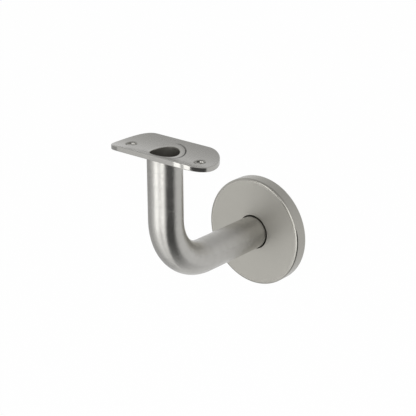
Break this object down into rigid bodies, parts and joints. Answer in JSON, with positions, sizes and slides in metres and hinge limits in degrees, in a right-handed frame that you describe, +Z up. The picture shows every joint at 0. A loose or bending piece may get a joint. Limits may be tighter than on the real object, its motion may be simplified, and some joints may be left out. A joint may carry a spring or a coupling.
{
  "type": "handrail bracket",
  "caption": "Wall handrail bracket: a bent round tube with a curved rail saddle on its upper end and a round cover rosette that slides over its wall plate.",
  "frame": {"origin": "centre of the wall screw circle, on the wall face and on the axis of the horizontal arm", "axes": "+Y into the wall, +Z up, X along the handrail"},
  "size_m": [0.069, 0.1018, 0.1079],
  "materials": {
    "tube_steel": "satin, brushed around the tube",
    "saddle_steel": "satin, brushed along the rail",
    "weld_steel": "ground weld",
    "plate_steel": "plain rolled, turned rim",
    "cover_steel": "satin, turned"
  },
  "bodies": {
    "bracket": {"arm_tube": "tube_steel", "saddle_plate": "saddle_steel", "saddle_weld": "weld_steel", "mounting_plate": "plate_steel", "mounting_weld": "weld_steel"},
    "cover": {"cover_rosette": "cover_steel"}
  },
  "joints": [
    {"name": "cover_slide", "type": "slide", "parent": "bracket", "child": "cover", "axis": [0, -1, 0], "range_m": [0, 0.046]}
  ]
}
